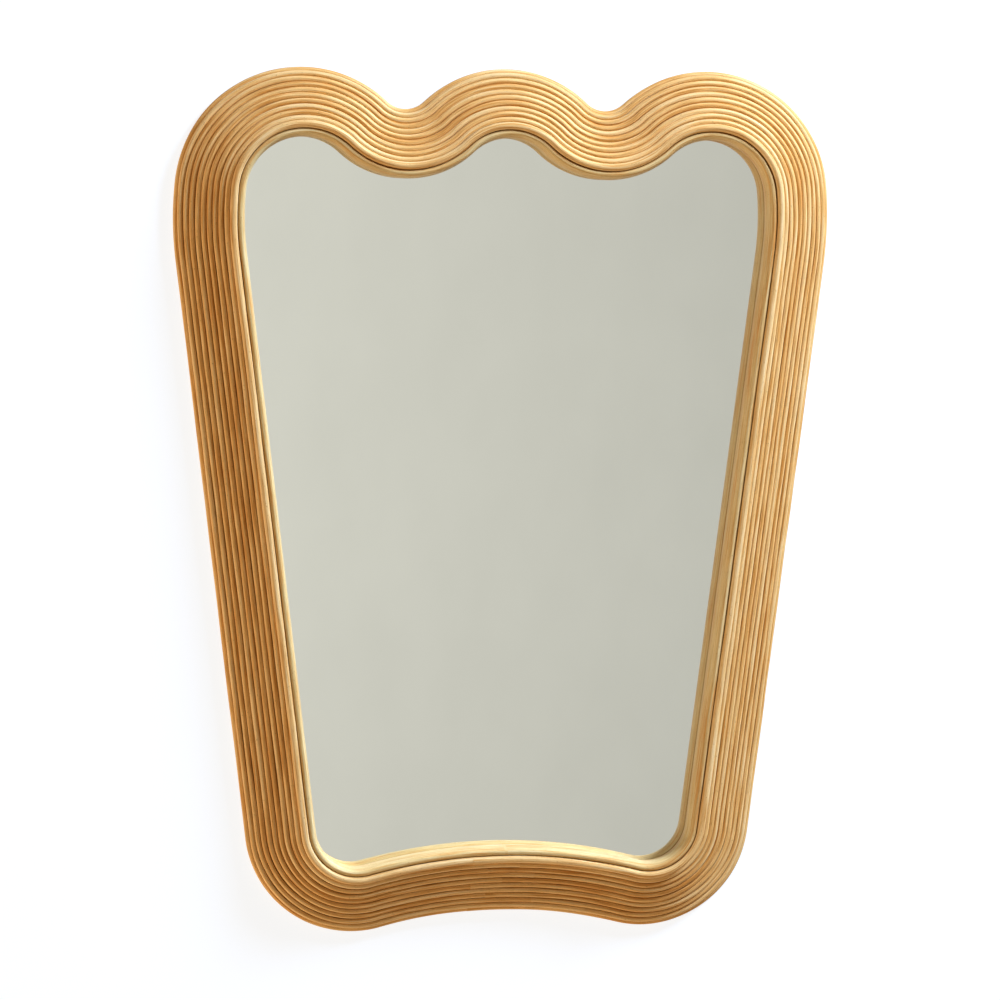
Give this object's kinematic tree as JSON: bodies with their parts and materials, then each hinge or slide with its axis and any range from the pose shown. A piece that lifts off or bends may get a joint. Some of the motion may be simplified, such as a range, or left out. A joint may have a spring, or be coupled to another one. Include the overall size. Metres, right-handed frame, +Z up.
{
  "type": "wall mirror",
  "caption": "Wall mirror in a wavy, tapering frame of parallel bent reeds on a bevelled former, with a set-back silvered pane and folding hanging rings on the back.",
  "frame": {"origin": "middle of the back, on the wall plane", "axes": "+X to the viewer's right, +Z up, +Y into the wall; the mirror faces -Y"},
  "size_m": [0.7056, 0.0422, 0.918],
  "materials": {
    "reed": "satin lacquered natural reed",
    "crest": "satin lacquered natural reed",
    "lip": "satin lacquered split cane",
    "former": "raw fibreboard",
    "mirror": "silvered float glass",
    "board": "smooth hardboard",
    "screw_steel": "zinc plated",
    "hanger_steel": "nickel plated",
    "ring_steel": "nickel plated"
  },
  "bodies": {
    "frame": {"under_reed": "reed", "face_reed_1": "reed", "face_reed_2": "reed", "face_reed_3": "reed", "face_reed_4": "reed", "face_reed_5": "reed", "face_reed_6": "reed", "face_reed_7": "reed", "face_reed_8": "reed", "face_reed_9": "reed", "crest_reed": "crest", "inner_lip": "lip", "bevel_former": "former", "mirror_pane": "mirror", "backing_board": "board", "board_screws": "screw_steel", "hanger_screws": "screw_steel", "left_hanger_strap": "hanger_steel", "right_hanger_strap": "hanger_steel"},
    "left_ring": {"left_hanger_ring": "ring_steel"},
    "right_ring": {"right_hanger_ring": "ring_steel"}
  },
  "joints": [
    {"name": "left_ring_swing", "type": "hinge", "parent": "frame", "child": "left_ring", "pos_m": [-0.31882, -0.005, 0.30312], "axis": [1, 0, 0], "range_deg": [0, 180]},
    {"name": "right_ring_swing", "type": "hinge", "parent": "frame", "child": "right_ring", "pos_m": [0.31882, -0.005, 0.30312], "axis": [1, 0, 0], "range_deg": [0, 180]}
  ]
}
